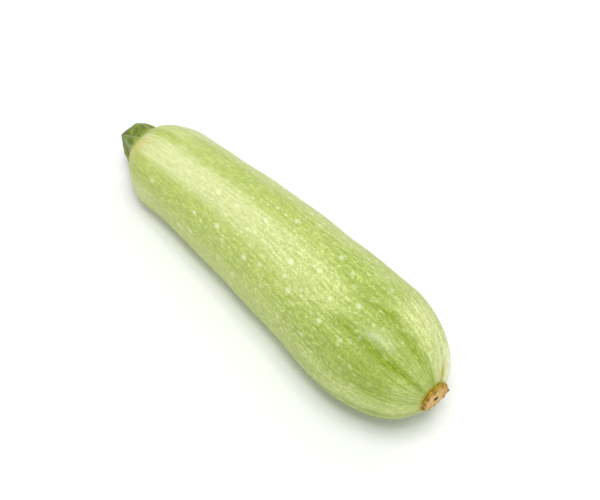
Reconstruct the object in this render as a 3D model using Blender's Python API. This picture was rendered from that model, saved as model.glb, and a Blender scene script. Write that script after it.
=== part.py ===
"""A pale green zucchini lying on its belly: the fruit, the cut stub of its stem and its blossom scar.

The fruit is measured along its own axis, from the stem end to the blossom end. An angle round the
axis starts at the top of the fruit and is positive towards -Y. Each piece is modelled along its own
axis, then placed under one empty, which leans the axis until the belly lies level on the ground.
"""

import math

import bmesh
import bpy
import numpy as np
from mathutils import Matrix, Vector

MM = 0.001

# The fruit
FRUIT_LENGTH = 190.5 * MM
# Share of the length, radius and sideways shift of the axis towards +Y, in millimetres
STATIONS = (
    (0.00, 20.8, -2.3),
    (0.14, 21.3, -0.6),
    (0.30, 23.6, 1.1),
    (0.45, 26.0, 1.7),
    (0.60, 27.8, 1.1),
    (0.74, 29.6, 0.3),
    (0.86, 29.6, 0.1),
    (1.00, 31.4, -0.9),
)
SHOULDER_LENGTH = 22.0 * MM
BLOSSOM_DOME_LENGTH = 41.5 * MM
LEAN = math.radians(3.6)
BELLY_FLAT_DEPTH = 1.0 * MM

# The ribs: five broad ones that run into the stem's corners, with ten low ones over them
RIBS = 5
RIB_ANGLE = math.radians(46.0)
RIB_HEIGHT = 0.35 * MM
SHOULDER_RIB_HEIGHT = 0.7 * MM
SHOULDER_RIB_PLACE = 11.0 * MM
SHOULDER_RIB_REACH = 15.0 * MM
LOW_RIB_HEIGHT = 0.12 * MM
PUCKER_HEIGHT = 0.25 * MM
PUCKER_REACH = 12.0 * MM

# The stub of the stem
STEM_SEAT_RADIUS = 9.8 * MM
STEM_FOOT_EDGE = 0.4 * MM
STEM_LENGTH = 9.0 * MM
# Radii in the hollows between the ridges
STEM_FOOT_RADIUS = 9.5 * MM
STEM_WAIST_RADIUS = 8.3 * MM
STEM_CUT_RADIUS = 6.6 * MM
# Five ridges: angle in degrees, height at the foot and at the cut in millimetres
STEM_RIDGES = (
    (46.0, 2.3, 1.45),
    (118.0, 2.7, 0.9),
    (190.0, 2.1, 1.3),
    (262.0, 2.3, 1.5),
    (334.0, 1.5, 0.65),
)
STEM_RIDGE_REACH = math.radians(19.0)
# A lower ridge forks off each of them towards the foot
STEM_FORK_HEIGHT = 0.9 * MM
STEM_FORK_ANGLE = math.radians(32.0)
STEM_FORK_REACH = math.radians(9.0)
STEM_CUT_SLANT = math.radians(7.0)
STEM_CUT_HIGH_SIDE = math.radians(25.0)
STEM_CUT_DISH = 0.7 * MM
STEM_RIM_ROUNDING = 0.5 * MM
# Rings of the cut face: share of the cut's radius, and share of the dish's depth
STEM_CUT_RINGS = ((0.93, 0.0), (0.78, 0.35), (0.45, 0.9))

# The blossom scar
SCAR_SEAT_RADIUS = 7.4 * MM
SCAR_RADIUS = 7.5 * MM
SCAR_RAGGEDNESS = 0.5 * MM
SCAR_RIM_HEIGHT = 1.7 * MM
SCAR_FACE_HEIGHT = 1.3 * MM
# The scar leans: its high side, as an angle from the bottom, is up and towards +Y
SCAR_SLANT = math.radians(5.0)
SCAR_HIGH_SIDE = math.radians(225.0)
SCAR_PIT_RADIUS = 1.1 * MM
SCAR_PIT_DEPTH = 0.8 * MM
SCAR_PIT_FLOOR_RADIUS = 0.66 * MM
# How far the pit lies off the middle, down and towards +Y
SCAR_PIT_SHIFT = (0.9 * MM, 0.5 * MM)
# Waves round the scar's ragged edge: how many, how high as a share of its raggedness, where they start
SCAR_EDGE_WAVES = ((1, 1.4, 2.36), (5, 0.5, 0.6), (8, 0.3, 2.1), (17, 0.3, 1.3))
# Bumps on the scar's rim: two beating waves, how many and where they start
SCAR_RIM_BUMPS = ((7, 0.4), (3, 1.9))

# Neighbouring pieces keep this clearance
PIECE_GAP = 0.3 * MM

# Corners of the planed belly nearer than this to an edge of the skin join it
BELLY_CUT_SNAP = 0.02 * MM

# How finely the pieces are divided
FRUIT_AROUND = 72
SHOULDER_RINGS = 9
BARREL_RINGS = 21
DOME_RINGS = 15
STEM_AROUND = 80
STEM_RINGS = 9
SCAR_AROUND = 44

SKIN_COLOUR = (0.56, 0.68, 0.24, 1.0)
STEM_COLOUR = (0.13, 0.24, 0.06, 1.0)
SCAR_COLOUR = (0.56, 0.31, 0.13, 1.0)
SKIN_ROUGHNESS = 0.38
STEM_ROUGHNESS = 0.6
SCAR_ROUGHNESS = 0.85
SHARP_EDGE_ANGLE = math.radians(35.0)


def clear_scene():
    for old in list(bpy.data.objects):
        bpy.data.objects.remove(old, do_unlink=True)


def make_material(name, colour, roughness):
    material = bpy.data.materials.new(name)
    material.use_nodes = True
    shader = material.node_tree.nodes["Principled BSDF"]
    shader.inputs["Base Color"].default_value = colour
    shader.inputs["Roughness"].default_value = roughness
    shader.inputs["Metallic"].default_value = 0.0
    material.diffuse_color = colour
    return material


def smooth_curve(places, values):
    """A function that reads the natural cubic curve through the given points."""
    gaps = np.diff(places)
    rises = np.diff(values) / gaps
    last = len(places) - 1
    system = np.eye(last + 1)
    changes = np.zeros(last + 1)
    for i in range(1, last):
        system[i, i - 1] = gaps[i - 1]
        system[i, i] = 2.0 * (gaps[i - 1] + gaps[i])
        system[i, i + 1] = gaps[i]
        changes[i] = 6.0 * (rises[i] - rises[i - 1])
    bends = np.linalg.solve(system, changes)

    def value_at(place):
        i = int(np.clip(np.searchsorted(places, place) - 1, 0, last - 1))
        back = places[i + 1] - place
        ahead = place - places[i]
        curved = (bends[i] * back**3 + bends[i + 1] * ahead**3) / (6.0 * gaps[i])
        start = (values[i] / gaps[i] - bends[i] * gaps[i] / 6.0) * back
        end = (values[i + 1] / gaps[i] - bends[i + 1] * gaps[i] / 6.0) * ahead
        return curved + start + end

    return value_at


STATION_PLACES = np.array([share * FRUIT_LENGTH for share, _, _ in STATIONS])
barrel_radius = smooth_curve(STATION_PLACES, np.array([radius * MM for _, radius, _ in STATIONS]))
sideways_shift = smooth_curve(STATION_PLACES, np.array([shift * MM for _, _, shift in STATIONS]))


def rib_relief(place, angle):
    """How far the skin stands out of or under its mean radius."""
    shoulder = math.exp(-(((place - SHOULDER_RIB_PLACE) / SHOULDER_RIB_REACH) ** 2))
    broad = RIB_HEIGHT + (SHOULDER_RIB_HEIGHT - RIB_HEIGHT) * shoulder
    pucker = math.exp(-(((FRUIT_LENGTH - place) / PUCKER_REACH) ** 2))
    low = LOW_RIB_HEIGHT + PUCKER_HEIGHT * pucker
    turn = RIBS * (angle - RIB_ANGLE)
    return broad * math.cos(turn) + low * math.cos(2.0 * turn)


def distance_from_end(end_length, share):
    """How far from its end a rounded end of the fruit has reached this share of its full radius."""
    return end_length * (1.0 - math.cos(math.asin(share)))


STEM_SEAT_SHARE = STEM_SEAT_RADIUS / barrel_radius(0.0)
STEM_SEAT_PLACE = distance_from_end(SHOULDER_LENGTH, STEM_SEAT_SHARE)
SCAR_SEAT_SHARE = SCAR_SEAT_RADIUS / barrel_radius(FRUIT_LENGTH)
SCAR_SEAT_PLACE = FRUIT_LENGTH - distance_from_end(BLOSSOM_DOME_LENGTH, SCAR_SEAT_SHARE)


def fruit_rings():
    """Places along the axis, each with the share of the barrel's radius that is left there."""
    first = math.asin(STEM_SEAT_SHARE)
    for i in range(SHOULDER_RINGS):
        turn = first + (math.pi / 2.0 - first) * i / SHOULDER_RINGS
        yield SHOULDER_LENGTH * (1.0 - math.cos(turn)), math.sin(turn)
    dome_start = FRUIT_LENGTH - BLOSSOM_DOME_LENGTH
    for i in range(BARREL_RINGS):
        share = i / BARREL_RINGS
        yield SHOULDER_LENGTH + (dome_start - SHOULDER_LENGTH) * share, 1.0
    last = math.asin(SCAR_SEAT_SHARE)
    for i in range(DOME_RINGS + 1):
        turn = math.pi / 2.0 + (last - math.pi / 2.0) * i / DOME_RINGS
        yield FRUIT_LENGTH - BLOSSOM_DOME_LENGTH * (1.0 - math.cos(turn)), math.sin(turn)


def round_angles(count):
    return [2.0 * math.pi * i / count for i in range(count)]


def skin_rings(bm, rings):
    """Joins rings of vertices, in order, with faces, and closes the first and the last ring."""
    count = len(rings[0])
    for lower, upper in zip(rings, rings[1:]):
        for i in range(count):
            j = (i + 1) % count
            bm.faces.new((lower[i], lower[j], upper[j], upper[i]))
    bm.faces.new(list(reversed(rings[0])))
    bm.faces.new(rings[-1])
    bmesh.ops.recalc_face_normals(bm, faces=bm.faces)


def cut_belly_flat(bm):
    """Planes off the lowest sliver of the belly, level with the ground once the axis leans."""
    down = Matrix.Rotation(LEAN, 3, "Y") @ Vector((0.0, 0.0, -1.0))
    depth = max(vertex.co.dot(down) for vertex in bm.verts) - BELLY_FLAT_DEPTH
    cut = bmesh.ops.bisect_plane(
        bm,
        geom=bm.verts[:] + bm.edges[:] + bm.faces[:],
        dist=BELLY_CUT_SNAP,
        use_snap_center=True,
        plane_co=down * depth,
        plane_no=down,
        clear_outer=True,
    )
    border = [part for part in cut["geom_cut"] if isinstance(part, bmesh.types.BMEdge)]
    bmesh.ops.contextual_create(bm, geom=border)
    bmesh.ops.recalc_face_normals(bm, faces=bm.faces)


def finish_object(name, bm, material):
    mesh = bpy.data.meshes.new(name)
    bm.to_mesh(mesh)
    bm.free()
    mesh.materials.append(material)
    mesh.shade_smooth()
    mesh.set_sharp_from_angle(angle=SHARP_EDGE_ANGLE)
    piece = bpy.data.objects.new(name, mesh)
    bpy.context.scene.collection.objects.link(piece)
    return piece


def make_fruit():
    """The fruit's axis runs along +X from its origin at the stem end."""
    bm = bmesh.new()
    rings = []
    for place, share in fruit_rings():
        ring = []
        for angle in round_angles(FRUIT_AROUND):
            radius = share * (barrel_radius(place) + rib_relief(place, angle))
            across = sideways_shift(place) - radius * math.sin(angle)
            ring.append(bm.verts.new((place, across, radius * math.cos(angle))))
        rings.append(ring)
    skin_rings(bm, rings)
    cut_belly_flat(bm)
    return finish_object("fruit", bm, make_material("skin", SKIN_COLOUR, SKIN_ROUGHNESS))


def crest(angle, middle, reach):
    """1 on the middle line of a ridge, falling smoothly to 0 on both sides of it."""
    away = math.remainder(angle - middle, 2.0 * math.pi)
    return math.exp(-((away / reach) ** 2))


def stem_radius(share, angle):
    """Radius of the stem's side, from its foot at share 0 to its cut at share 1."""
    narrowing = STEM_FOOT_RADIUS + (STEM_CUT_RADIUS - STEM_FOOT_RADIUS) * share
    straight_waist = 0.5 * (STEM_FOOT_RADIUS + STEM_CUT_RADIUS)
    radius = narrowing + (STEM_WAIST_RADIUS - straight_waist) * math.sin(math.pi * share)
    for degrees, foot_height, cut_height in STEM_RIDGES:
        middle = math.radians(degrees)
        height = (foot_height + (cut_height - foot_height) * share) * MM
        radius += height * crest(angle, middle, STEM_RIDGE_REACH)
        fork_middle = middle - STEM_FORK_ANGLE * (1.0 - share)
        fork_height = STEM_FORK_HEIGHT * (1.0 - share)
        radius += fork_height * crest(angle, fork_middle, STEM_FORK_REACH)
    return radius


def stem_cut_height(radius, angle):
    """Height of the slanted cut above the stem's foot."""
    return STEM_LENGTH + radius * math.cos(angle - STEM_CUT_HIGH_SIDE) * math.tan(STEM_CUT_SLANT)


def ring_at(bm, count, radius_of, height_of, shift=(0.0, 0.0)):
    """A ring about +Z whose zero angle is on +X, and whose angle is positive towards -Y."""
    ring = []
    for angle in round_angles(count):
        radius = radius_of(angle)
        x = shift[0] + radius * math.cos(angle)
        y = shift[1] - radius * math.sin(angle)
        ring.append(bm.verts.new((x, y, height_of(radius, angle))))
    return ring


def shoulder_drop(radius, angle):
    """How far the shoulder's skin has fallen away from the stem's seat at a given radius."""
    share = radius / (barrel_radius(0.0) + rib_relief(STEM_SEAT_PLACE, angle))
    return max(0.0, distance_from_end(SHOULDER_LENGTH, share) - STEM_SEAT_PLACE)


def make_stem():
    """The stem rises along +Z from its origin at the middle of its foot, which hugs the shoulder."""
    bm = bmesh.new()

    def flat_foot_radius(angle):
        return min(STEM_SEAT_RADIUS, stem_radius(0.0, angle) - STEM_FOOT_EDGE)

    rings = [ring_at(bm, STEM_AROUND, flat_foot_radius, lambda radius, angle: 0.0)]
    for i in range(STEM_RINGS):
        share = i / (STEM_RINGS - 1)

        def side_radius(angle, share=share):
            return stem_radius(share, angle)

        def side_height(radius, angle, share=share):
            rise = stem_cut_height(radius, angle) - STEM_RIM_ROUNDING
            return share * rise - (1.0 - share) ** 3 * shoulder_drop(radius, angle)

        rings.append(ring_at(bm, STEM_AROUND, side_radius, side_height))
    for inward, dish in STEM_CUT_RINGS:

        def cut_radius(angle, inward=inward):
            return inward * stem_radius(1.0, angle)

        def cut_height(radius, angle, dish=dish):
            return stem_cut_height(radius, angle) - dish * STEM_CUT_DISH

        rings.append(ring_at(bm, STEM_AROUND, cut_radius, cut_height))
    skin_rings(bm, rings)
    return finish_object("stem", bm, make_material("stem", STEM_COLOUR, STEM_ROUGHNESS))


def scar_edge(angle):
    """The scar's ragged outline."""
    wave = sum(height * math.cos(count * angle + start) for count, height, start in SCAR_EDGE_WAVES)
    return SCAR_RADIUS + SCAR_RAGGEDNESS * wave


def make_scar():
    """The scar rises along +Z from its origin at the middle of its flat back."""
    # Share of the scar's radius, height, share of its raggedness that the height varies by, and
    # share of the pit's shift
    profile = (
        (0.94, 0.0, 0.0, 0.0),
        (1.00, 0.15 * SCAR_RIM_HEIGHT, 0.0, 0.0),
        (0.96, 0.6 * SCAR_RIM_HEIGHT, 0.3, 0.0),
        (0.94, 0.92 * SCAR_RIM_HEIGHT, 0.5, 0.0),
        (0.89, SCAR_RIM_HEIGHT, 0.6, 0.0),
        (0.80, 0.93 * SCAR_RIM_HEIGHT, 0.4, 0.0),
        (0.66, 1.03 * SCAR_FACE_HEIGHT, 0.1, 0.3),
        (0.40, SCAR_FACE_HEIGHT, 0.0, 0.8),
        (SCAR_PIT_RADIUS / SCAR_RADIUS, SCAR_FACE_HEIGHT, 0.0, 1.0),
        (SCAR_PIT_FLOOR_RADIUS / SCAR_RADIUS, SCAR_FACE_HEIGHT - SCAR_PIT_DEPTH, 0.0, 1.0),
    )
    bm = bmesh.new()
    rings = []
    for share, height, unevenness, shifted in profile:

        def edge_radius(angle, share=share):
            return share * (SCAR_RADIUS + share**3 * (scar_edge(angle) - SCAR_RADIUS))

        def rim_height(radius, angle, height=height, unevenness=unevenness):
            bump = math.prod(math.cos(count * angle + start) for count, start in SCAR_RIM_BUMPS)
            lean = radius * math.cos(angle - SCAR_HIGH_SIDE) * math.tan(SCAR_SLANT)
            return height * (1.0 + lean / SCAR_RIM_HEIGHT) + unevenness * SCAR_RAGGEDNESS * bump

        shift = (shifted * SCAR_PIT_SHIFT[0], shifted * SCAR_PIT_SHIFT[1])
        rings.append(ring_at(bm, SCAR_AROUND, edge_radius, rim_height, shift))
    skin_rings(bm, rings)
    return finish_object("blossom_scar", bm, make_material("scar", SCAR_COLOUR, SCAR_ROUGHNESS))


def place_pieces(fruit, stem, scar):
    """Sets the stem and the scar on the fruit's ends, and the whole on the ground at the origin."""
    whole = bpy.data.objects.new("zucchini", None)
    bpy.context.scene.collection.objects.link(whole)
    for piece in (fruit, stem, scar):
        piece.parent = whole
    stem.rotation_euler = (0.0, -math.pi / 2.0, 0.0)
    stem.location = (STEM_SEAT_PLACE - PIECE_GAP, sideways_shift(STEM_SEAT_PLACE), 0.0)
    scar.rotation_euler = (0.0, math.pi / 2.0, 0.0)
    scar.location = (SCAR_SEAT_PLACE + PIECE_GAP, sideways_shift(SCAR_SEAT_PLACE), 0.0)
    whole.rotation_euler = (0.0, -LEAN, 0.0)
    bpy.context.view_layer.update()
    corners = []
    for piece in (fruit, stem, scar):
        corners += [piece.matrix_world @ vertex.co for vertex in piece.data.vertices]
    low = Vector([min(corner[axis] for corner in corners) for axis in range(3)])
    high = Vector([max(corner[axis] for corner in corners) for axis in range(3)])
    middle = (low + high) / 2.0
    whole.location = (-middle.x, -middle.y, -low.z)


def build():
    clear_scene()
    place_pieces(make_fruit(), make_stem(), make_scar())


build()
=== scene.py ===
import math

import bpy
import numpy as np
from mathutils import Matrix, Vector


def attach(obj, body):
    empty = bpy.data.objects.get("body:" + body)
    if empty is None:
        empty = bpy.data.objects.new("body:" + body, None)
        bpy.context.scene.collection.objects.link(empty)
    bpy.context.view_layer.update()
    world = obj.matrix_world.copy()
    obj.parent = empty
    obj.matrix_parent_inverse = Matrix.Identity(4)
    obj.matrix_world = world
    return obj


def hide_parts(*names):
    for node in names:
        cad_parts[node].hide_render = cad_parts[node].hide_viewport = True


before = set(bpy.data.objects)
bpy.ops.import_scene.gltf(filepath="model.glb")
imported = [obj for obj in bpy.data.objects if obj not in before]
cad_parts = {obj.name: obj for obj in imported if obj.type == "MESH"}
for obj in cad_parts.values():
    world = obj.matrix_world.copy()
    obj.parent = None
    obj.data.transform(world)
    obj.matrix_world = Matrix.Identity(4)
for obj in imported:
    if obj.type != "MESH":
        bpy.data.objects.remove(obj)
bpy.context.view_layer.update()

MM = 0.001

# Where the fruit's axis starts, in metres, and how far it leans as the belly lies level
WHOLE_PLACE = (-0.09183814, -0.00053185, 0.02011165)
LEAN = math.radians(3.6)

# The fruit, measured along its own axis from the stem end, with angles from its top towards -Y
FRUIT_LENGTH = 190.5 * MM
# Share of the length, radius and sideways shift of the axis towards +Y, in millimetres
STATIONS = (
    (0.00, 20.8, -2.3),
    (0.14, 21.3, -0.6),
    (0.30, 23.6, 1.1),
    (0.45, 26.0, 1.7),
    (0.60, 27.8, 1.1),
    (0.74, 29.6, 0.3),
    (0.86, 29.6, 0.1),
    (1.00, 31.4, -0.9),
)
SHOULDER_LENGTH = 22.0 * MM
BLOSSOM_DOME_LENGTH = 41.5 * MM
# Five broad ribs, highest on the shoulder, with ten low ones over them that grow towards the scar
RIBS = 5
RIB_ANGLE = math.radians(46.0)
RIB_HEIGHT = 0.35 * MM
SHOULDER_RIB_HEIGHT = 0.7 * MM
SHOULDER_RIB_PLACE = 11.0 * MM
SHOULDER_RIB_REACH = 15.0 * MM
LOW_RIB_HEIGHT = 0.12 * MM
PUCKER_HEIGHT = 0.25 * MM
PUCKER_REACH = 12.0 * MM
# The skin's patterns are laid out round a cylinder of this radius
MEAN_RADIUS = 25.0 * MM

# The skin's fine relief, which the solids leave out
UNEVEN_HEIGHT = 0.16 * MM
FINE_UNEVEN_HEIGHT = 0.035 * MM
LINE_GROOVE_DEPTH = 0.10 * MM
# Wrinkles round the scar, in two sets, and creases round the stem's foot: how many go round, how
# high they are and how far along the fruit they reach
WRINKLES_ROUND = (31.0, 47.0)
CREASES_ROUND = 25.0
WRINKLE_HEIGHT = 0.09 * MM
WRINKLE_REACH = 13.0 * MM
CREASE_HEIGHT = 0.10 * MM
CREASE_REACH = 9.0 * MM

# The stem
STEM_SEAT_RADIUS = 9.8 * MM
STEM_LENGTH = 9.0 * MM
# Radii in the hollows between the ridges
STEM_FOOT_RADIUS = 9.5 * MM
STEM_WAIST_RADIUS = 8.3 * MM
STEM_CUT_RADIUS = 6.6 * MM
# Five ridges: angle in degrees, height at the foot and at the cut in millimetres
STEM_RIDGES = (
    (46.0, 2.3, 1.45),
    (118.0, 2.7, 0.9),
    (190.0, 2.1, 1.3),
    (262.0, 2.3, 1.5),
    (334.0, 1.5, 0.65),
)
# A lower ridge forks off each of them towards the foot; angles and reaches are in degrees
STEM_RIDGE_REACH = 19.0
STEM_FORK_HEIGHT = 0.9 * MM
STEM_FORK_ANGLE = 32.0
STEM_FORK_REACH = 9.0
# A narrow edge stands on each ridge and each fork; its mean share of that height is taken off again
STEM_EDGE_HEIGHT = 0.30 * MM
STEM_EDGE_MEAN = 0.3
STEM_RIDGE_EDGE_REACH = 4.4
STEM_FORK_EDGE_REACH = 3.4
# Fibres and unevenness of the stem's side and face, laid out round cylinders of these radii
STEM_SIDE_RADIUS = 9.0 * MM
STEM_FACE_RADIUS = 6.0 * MM
STEM_FIBRES = 60.0
STEM_FIBRE_HEIGHT = 0.05 * MM
STEM_UNEVEN_HEIGHT = 0.12 * MM
# The slanted cut, its dish, how far its edge is rounded off and how rough its face is
STEM_CUT_SLANT = math.radians(7.0)
STEM_CUT_HIGH_SIDE = math.radians(25.0)
STEM_CUT_DISH = 0.7 * MM
STEM_CUT_ROUNDING = 0.35 * MM
STEM_CUT_ROUGHNESS = 0.10 * MM
# Rings of the cut face, as shares of its radius
STEM_FACE_RINGS = (
    0.985, 0.965, 0.94, 0.91, 0.87, 0.82, 0.76, 0.69, 0.61, 0.52, 0.43, 0.33, 0.23, 0.13,
)
# How far the stem's foot reaches below its seat
STEM_SINK = 0.35 * MM

# The blossom scar
SCAR_SEAT_RADIUS = 7.4 * MM
SCAR_RADIUS = 7.5 * MM
SCAR_RAGGEDNESS = 0.5 * MM
SCAR_RIM_HEIGHT = 1.7 * MM
SCAR_FACE_HEIGHT = 1.3 * MM
# The scar leans: its high side, as an angle from the bottom, is up and towards +Y
SCAR_SLANT = math.radians(5.0)
SCAR_HIGH_SIDE = math.radians(225.0)
SCAR_PIT_DEPTH = 0.8 * MM
# How far the pit lies off the middle, down and towards +Y
SCAR_PIT_SHIFT = (0.9 * MM, 0.5 * MM)
# The painted shade in the pit is a dark oval: the way that it is narrow, how narrow, and how far it
# lies that way
SCAR_PIT_NARROW_SIDE = math.radians(-69.0)
SCAR_PIT_NARROWNESS = 0.76
SCAR_PIT_DARK_SHIFT = 0.15 * MM
# The painted shade starts at the first of these radii and is full at the second
SCAR_PIT_DARK_RADII = (2.1 * MM, 1.1 * MM)
# Waves round the ragged edge: how many, how high as a share of the raggedness, where they start
SCAR_EDGE_WAVES = ((1, 1.4, 2.36), (5, 0.5, 0.6), (8, 0.3, 2.1), (17, 0.3, 1.3))
# The rim's broad bumps and small teeth, each of waves that beat: how many, where they start
SCAR_BUMP_WAVES = ((7.0, 0.4), (3.0, 1.9))
SCAR_TEETH_WAVES = ((19.0, 0.7), (8.0, 2.6), (5.0, 0.0))
# From the back over the rim to the pit: share of the scar's radius, height, and how much there is of
# the raggedness, of the wall's colour and of the rim's colour
SCAR_PROFILE = (
    (0.90, -0.5 * MM, 0.0, 1.0, 0.0),
    (1.00, 0.15 * SCAR_RIM_HEIGHT, 0.0, 1.0, 0.0),
    (0.985, 0.35 * SCAR_RIM_HEIGHT, 0.2, 1.0, 0.0),
    (0.96, 0.60 * SCAR_RIM_HEIGHT, 0.3, 1.0, 0.0),
    (0.95, 0.78 * SCAR_RIM_HEIGHT, 0.5, 0.8, 0.3),
    (0.935, 0.93 * SCAR_RIM_HEIGHT, 0.8, 0.4, 1.0),
    (0.90, 1.00 * SCAR_RIM_HEIGHT, 1.0, 0.0, 1.0),
    (0.86, 0.98 * SCAR_RIM_HEIGHT, 0.9, 0.0, 1.0),
    (0.80, 0.92 * SCAR_RIM_HEIGHT, 0.7, 0.0, 0.8),
    (0.73, 0.84 * SCAR_RIM_HEIGHT, 0.4, 0.0, 0.4),
    (0.66, 1.03 * SCAR_FACE_HEIGHT, 0.25, 0.0, 0.2),
    (0.56, 1.02 * SCAR_FACE_HEIGHT, 0.2, 0.0, 0.0),
    (0.46, 1.00 * SCAR_FACE_HEIGHT, 0.2, 0.0, 0.0),
    (0.37, 1.02 * SCAR_FACE_HEIGHT, 0.2, 0.0, 0.0),
    (0.28, 1.04 * SCAR_FACE_HEIGHT, 0.2, 0.0, 0.0),
    (0.20, 1.02 * SCAR_FACE_HEIGHT, 0.1, 0.0, 0.0),
    (0.15, 0.96 * SCAR_FACE_HEIGHT, 0.0, 0.0, 0.0),
    (0.12, SCAR_FACE_HEIGHT - 0.6 * SCAR_PIT_DEPTH, 0.0, 0.0, 0.0),
    (0.07, SCAR_FACE_HEIGHT - SCAR_PIT_DEPTH, 0.0, 0.0, 0.0),
    (0.02, SCAR_FACE_HEIGHT - SCAR_PIT_DEPTH, 0.0, 0.0, 0.0),
)
# Dark nubs on the rim: angle in degrees, and size
SCAR_NUBS = (
    (-92.0, 1.0),
    (-31.0, 0.5),
    (5.0, 0.8),
    (38.0, 0.9),
    (62.0, 0.7),
    (95.0, 0.8),
    (140.0, 0.5),
    (182.0, 0.6),
    (228.0, 0.5),
)
# How far each reaches round, in degrees, and where they lie, as shares of the scar's radius
SCAR_NUB_REACH = 7.5
SCAR_NUB_PLACE = 0.92
SCAR_NUB_DEPTH = 0.08
SCAR_NUB_HEIGHT = 0.35 * MM

# Neighbouring pieces keep this clearance
PIECE_GAP = 0.3 * MM

# How finely the pieces are divided; the fruit's rings are those of shoulder, barrel and dome
FRUIT_AROUND = 360
FRUIT_RINGS = (34, 150, 62)
STEM_AROUND = 240
STEM_SIDE_RINGS = 60
SCAR_AROUND = 200
SCAR_RINGS = 58
# The fruit's first and last rings hide under the stem and the scar, this far out towards their edges
HIDDEN_RING_SHARE = 0.45

# The five pale bands: middle in degrees, how pale over the stem half and over the blossom half
PALE_BANDS = (
    (14.0, 1.0, 0.21),
    # Over the stem half the band at 86 degrees is less pale than its own colour, as painted shade on
    # that lower flank
    (86.0, 0.30, 0.88),
    (158.0, 0.8, 0.45),
    (230.0, 0.9, 0.40),
    (307.0, 0.60, 0.80),
)
PALE_HALF_WIDTH = 17.0
PALE_BORDER = 7.0
# The five green bands between them: middle in degrees, how green over the blossom half
GREEN_BANDS = ((50.0, 0.82), (122.0, 0.75), (194.0, 0.45), (266.0, 0.7), (338.0, 0.28))
# The thin darker lines of the blossom half: middle in degrees, strength, half width in degrees
DARK_LINES = (
    (-6.5, 1.0, 5.0),
    (27.5, 1.2, 5.0),
    (64.0, 0.35, 3.0),
    (100.0, 0.6, 3.6),
    (136.0, 0.8, 4.0),
    (172.0, 0.5, 3.4),
    (208.0, 0.8, 4.0),
    (244.0, 0.6, 3.6),
    (280.0, 0.7, 3.4),
    (316.0, 0.2, 2.4),
)

# Where bands and lines turn aside: by how many degrees, the places along the fruit where that starts
# and where it is full, in millimetres, and its middle and reach round the fruit, in degrees
TURN_CHANGES = (
    (3.0, 170.0, 183.0, -12.0, 18.0),
    (3.0, 166.0, 180.0, 27.0, 12.0),
)
# Where the bands are paler or greener than their tables say, in the same way
BAND_CHANGES = (
    (-0.45, 36.0, 14.0, -34.0, 26.0),
    (-0.45, 36.0, 14.0, 88.0, 24.0),
    (-0.16, 60.0, 40.0, -18.0, 14.0),
    (0.60, 28.0, 14.0, -5.0, 7.0),
)

# Chosen pale spots: millimetres from the stem end, and degrees; their sizes in millimetres
CHOSEN_SPOTS = (
    (58, 12), (70, 12), (86, 4), (122, 6), (109, 18), (135, 18), (147, 6),
    (69, 41), (98, 40), (117, 38), (138, 38), (151, 38), (55, 47), (89, 46),
    (27, 51), (96, -17), (124, -17), (95, -40), (82, -38), (103, -33), (136, -33),
)
CHOSEN_SIZES = (0.9, 1.5)
CHOSEN_STRENGTHS = (0.7, 1.0)
# The scattered spots: where their rings start and stop, how far apart they are, how far each may be
# shifted along the fruit, in millimetres, and their sizes in millimetres and strengths
FIRST_SPOTS = 24.0 * MM
LAST_SPOTS = 176.0 * MM
SPOT_SPACING = 9.0 * MM
SPOT_SHIFTS = (-4.0, 4.0)
SPOT_SIZES = (0.60, 1.20)
SPOT_STRENGTHS = (0.10, 0.75)
# No scattered spot comes nearer than this to a chosen one
SPOT_CLEARANCE = 4.0 * MM
# No spot reaches further than this along the fruit
SPOT_REACH = 4.0 * MM

# The yellow blush beside the stem: its strongest place and angle, and how far it reaches
BLUSH_STRENGTH = 1.15
BLUSH_PLACE = 2.0 * MM
BLUSH_ANGLE = 27.0
BLUSH_LENGTH = 9.0 * MM
BLUSH_WIDTH = 30.0

# The patch of shine near the blossom end, smoother skin with a painted highlight: its middle, how many
# degrees it turns towards the top with each millimetre towards the scar, and how far it reaches
SHINE_PLACE = 162.0 * MM
SHINE_ANGLE = 18.5
SHINE_TURN = 0.5
SHINE_LENGTH = 8.5 * MM
SHINE_WIDTH = 8.0

# The stain round the scar, and the streak that runs out from it
STAIN_STRENGTH = 0.85
STAIN_REACH = 1.0 * MM
STAIN_STREAK_STRENGTH = 0.95
STAIN_STREAK_ANGLE = -42.0
STAIN_STREAK_WIDTH = 8.0

# The rows of the skin: how many go round the fruit, and how far they wander, in radians of a row
ROWS_ROUND = 66.0
ROW_WANDER = 14.0

# Floor, light and camera: places and sizes in metres, power in watts, lens and sensor in millimetres
FLOOR_HALF_SIZE = 6.0
FLOOR_DROP = 0.05 * MM
STUDIO_COLOUR = (0.99, 0.99, 1.05, 1.0)
STUDIO_STRENGTH = 0.47
# Soft lamps: name, place, the point that each faces, width, height and power
SOFTBOXES = (
    ("overhead", (0.20, -0.10, 2.60), (0.0, 0.0, 0.0), 1.10, 0.90, 30.0),
    ("front", (0.62, -0.42, 2.50), (0.05, 0.0, 0.0), 0.50, 0.40, 13.0),
    ("back", (-0.30, 1.20, 1.90), (0.0, 0.0, 0.0), 1.20, 1.00, 4.0),
)
# The camera looks at this place on the fruit's axis, and is then moved to its right and up
CAMERA_TARGET = 95.0 * MM
CAMERA_AZIMUTH = math.radians(46.3)
CAMERA_ELEVATION = math.radians(61.48)
CAMERA_DISTANCE = 0.80
CAMERA_LENS = 106.1
CAMERA_SENSOR = 36.0
CAMERA_RIGHT = 7.44 * MM
CAMERA_UP = 5.67 * MM


# Shape helpers


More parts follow.
